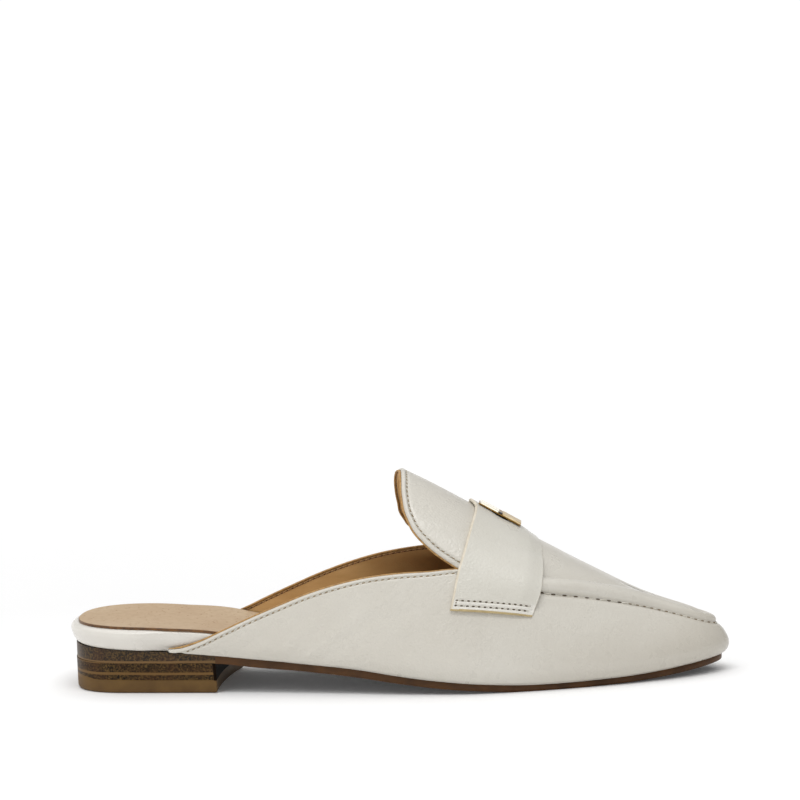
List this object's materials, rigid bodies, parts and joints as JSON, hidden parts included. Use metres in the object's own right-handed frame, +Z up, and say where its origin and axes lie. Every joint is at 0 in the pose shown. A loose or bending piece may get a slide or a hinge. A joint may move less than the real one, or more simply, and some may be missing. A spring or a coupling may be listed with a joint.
{
  "type": "mule shoe",
  "caption": "Right-foot loafer mule with an almond toe, raised moccasin seam, curved tongue, saddle strap with a plain metal bar, open back and low stacked block heel.",
  "frame": {"origin": "on the floor, at the middle of the heel's tread", "axes": "+Z up, +X towards the toe, +Y towards the medial (inner) side, so -Y is the lateral (outer) side"},
  "size_m": [0.2562, 0.0819, 0.0817],
  "materials": {
    "upper_leather": "smooth bone-white leather, satin, fine grain, tan lining",
    "strap_leather": "smooth bone-white leather with a cream painted edge",
    "bar_metal": "polished pale gold plate",
    "wrap_leather": "smooth bone-white leather wrapped over the footbed edge",
    "sock_leather": "matt natural tan leather with pinprick grain",
    "outsole_rubber": "dark brown, satin edge and fine-textured tread",
    "stacked_heel": "stacked layers, dark brown with lighter lines, satin",
    "top_lift_rubber": "light brown, matt"
  },
  "bodies": {
    "root": {"upper": "upper_leather", "saddle_strap": "strap_leather", "ornament_bar": "bar_metal", "footbed": "wrap_leather", "sock_lining": "sock_leather", "outsole": "outsole_rubber", "heel_block": "stacked_heel", "top_lift": "top_lift_rubber"}
  },
  "joints": []
}
